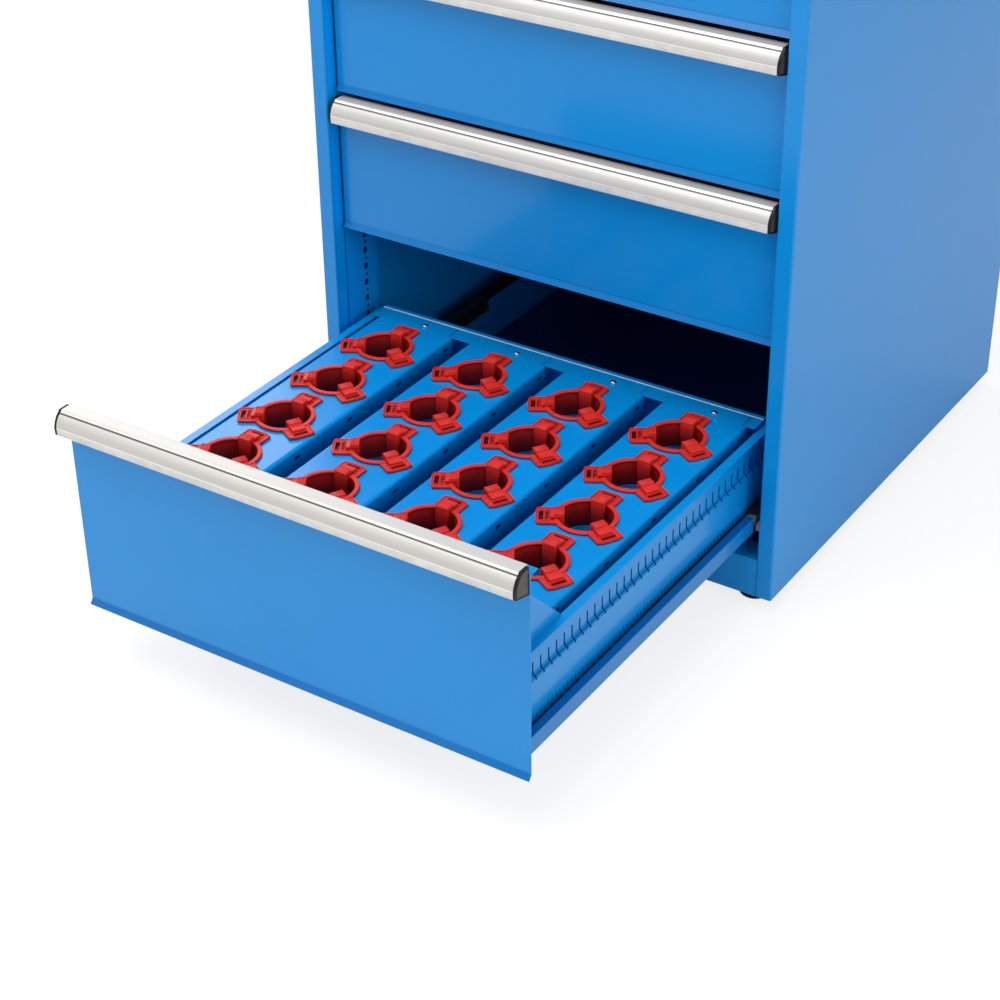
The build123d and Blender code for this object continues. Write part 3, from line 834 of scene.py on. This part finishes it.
for name in ("front_left", "front_right", "rear_left", "rear_right"):
    x = (-1 if name.endswith("left") else 1) * (body_half - foot_from_side)
    y = body_front + (foot_from_end if name.startswith("front") else body_deep - foot_from_end)
    piece(f"pad_{name}", copies(foot_pad(), [at(x, y, 0)]), foot_black, f"foot_{name}",
          [f"foot_{name}"])
    piece(f"stem_{name}", copies(stem(), [at(x, y, 0)]), bright_steel, f"foot_{name}")

# %% [markdown]
# A roller at each side of the cabinet's mouth carries the open drawer. The two are fixed to the posts.

# %% Mouth rollers
roller_x, roller_back, roller_up = 331.8, 11, 38
roller = spun(((1.5, -3), (6.6, -3), (7.0, -2.6), (7.0, 2.6), (6.6, 3), (4.0, 3), (3.6, 2.2),
               (1.5, 2.2)), 32)
mouth = copies(roller, [at(roller_x, body_front + roller_back, wall_foot + roller_up) @ turned(90, "Y")])
piece("mouth_rollers", both_sides(mouth), roller_grey, "housing")

# %% [markdown]
# A pale floor and four soft lights are the whole studio. The floor is white to the eye and keeps only
# a faint shadow. Level sheets look up into a dark sky, so their blue stays deep, while upright ones
# mirror the bright floor. The lamp behind on the left puts the sheen on the carriers.

# %% Floor and lights
floor_half = 12
floor_light, floor_seen, floor_glow = (0.90,) * 3, (0.22,) * 3, (0.80,) * 3
floor_shape = bmesh.new()
bmesh.ops.create_grid(floor_shape, x_segments=1, y_segments=1, size=floor_half)
floor_mesh = bpy.data.meshes.new("floor")
floor_shape.to_mesh(floor_mesh)
floor_shape.free()
floor = bpy.data.objects.new("floor", floor_mesh)
bpy.context.scene.collection.objects.link(floor)
floor.location.z = -0.0005
pale = Paint("pale_floor")
seen = pale.node("ShaderNodeLightPath", output="Is Camera Ray")
pale.set(Base_Color=pale.shade(seen, (0, floor_light), (1, floor_seen)), Roughness=0.8,
         Emission_Color=pale.shade(seen, (0, (0, 0, 0)), (1, floor_glow)), Emission_Strength=1.0)
floor_mesh.materials.append(pale.material)


def softbox(name, place, aim, size, power):
    """A broad square lamp aimed at a point."""
    lamp = bpy.data.lights.new(name, "AREA")
    lamp.shape, lamp.size, lamp.energy = "SQUARE", size, power
    obj = bpy.data.objects.new(name, lamp)
    bpy.context.scene.collection.objects.link(obj)
    direction = Vector(aim) - Vector(place)
    obj.matrix_world = Matrix.Translation(place) @ direction.to_track_quat("-Z", "Y").to_matrix().to_4x4()


softbox("overhead", place=(-0.4, -1.0, 3.2), aim=(0, 0, 0.4), size=2.6, power=74)
softbox("front_left", place=(-2.2, -3.2, 1.6), aim=(0, 0, 0.4), size=2.0, power=8)
softbox("right", place=(3.2, -1.6, 1.8), aim=(0, 0, 0.4), size=2.0, power=36)
softbox("behind_left", place=(-2.5, 1.55, 2.03), aim=(0, -0.3, 0.3), size=1.2, power=20)
print("lamps:", len(bpy.data.lights))

# %% [markdown]
# The sky has three colours: a soft grey that lights the cabinet, a dark one that its gloss mirrors,
# and white for the camera, which sees it behind the floor. A Mix node chooses by the kind of ray.

# %% Sky
mix_a, mix_b, mixed_colour = 6, 7, 2
lit_grey, mirrored_grey, white = (0.6, 0.6, 0.6, 1), (0.072, 0.078, 0.09, 1), (1, 1, 1, 1)
world = bpy.data.worlds.new("world")
world.use_nodes = True
sky = world.node_tree
rays = sky.nodes.new("ShaderNodeLightPath")


def by_ray(ray, colour):
    """A colour for one kind of ray, and the node's free input for all the others."""
    mix = sky.nodes.new("ShaderNodeMix")
    mix.data_type = "RGBA"
    sky.links.new(rays.outputs[ray], mix.inputs["Factor"])
    mix.inputs[mix_b].default_value = colour
    return mix.outputs[mixed_colour], mix.inputs[mix_a]


light, light_else = by_ray("Is Glossy Ray", mirrored_grey)
light_else.default_value = lit_grey
shown, shown_else = by_ray("Is Camera Ray", white)
sky.links.new(light, shown_else)
sky.links.new(shown, sky.nodes["Background"].inputs["Color"])
bpy.context.scene.world = world
print("sky nodes:", len(sky.nodes))
